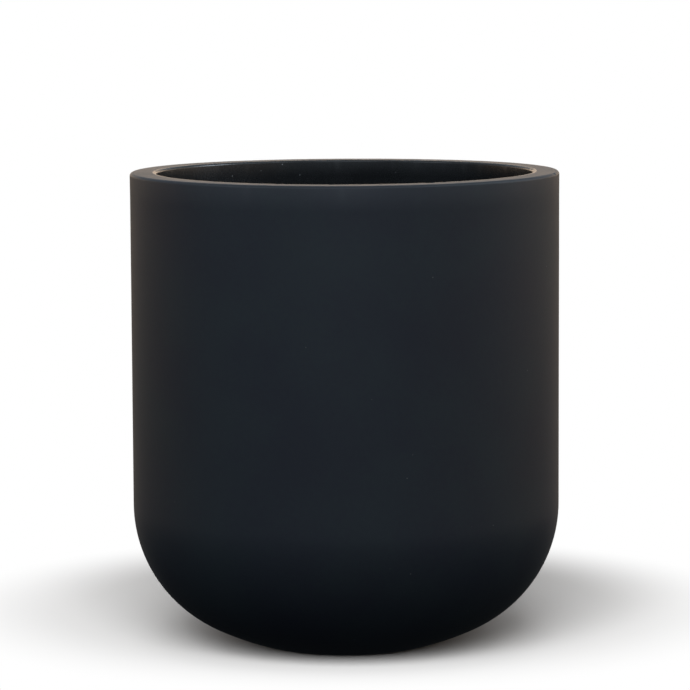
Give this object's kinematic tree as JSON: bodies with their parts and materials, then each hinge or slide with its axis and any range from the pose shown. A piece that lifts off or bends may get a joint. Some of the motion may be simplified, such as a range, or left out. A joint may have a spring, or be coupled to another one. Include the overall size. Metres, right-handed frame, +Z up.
{
  "type": "empty candle jar",
  "caption": "Round-bottomed ceramic candle jar with a thick wall, flat rim, matte black outside and gloss black liner, empty and without a lid.",
  "frame": {"origin": "centre of the foot ring, on the surface that the jar stands on", "axes": "+Z up along the jar's axis, out of its mouth; the jar is round, so +X and +Y are free"},
  "size_m": [0.09, 0.09, 0.1],
  "materials": {
    "bare_clay": "unglazed fired charcoal stoneware, fine grain, dry and rough",
    "matte_glaze": "matte to satin black glaze with a cool cast, very fine tooth",
    "gloss_glaze": "gloss black liner glaze with a few pinholes and specks",
    "base_glaze": "matte black glaze patch, slightly uneven at its edge"
  },
  "bodies": {
    "root": {"clay_body": "bare_clay", "outer_glaze": "matte_glaze", "liner_glaze": "gloss_glaze", "base_glaze": "base_glaze"}
  },
  "joints": []
}
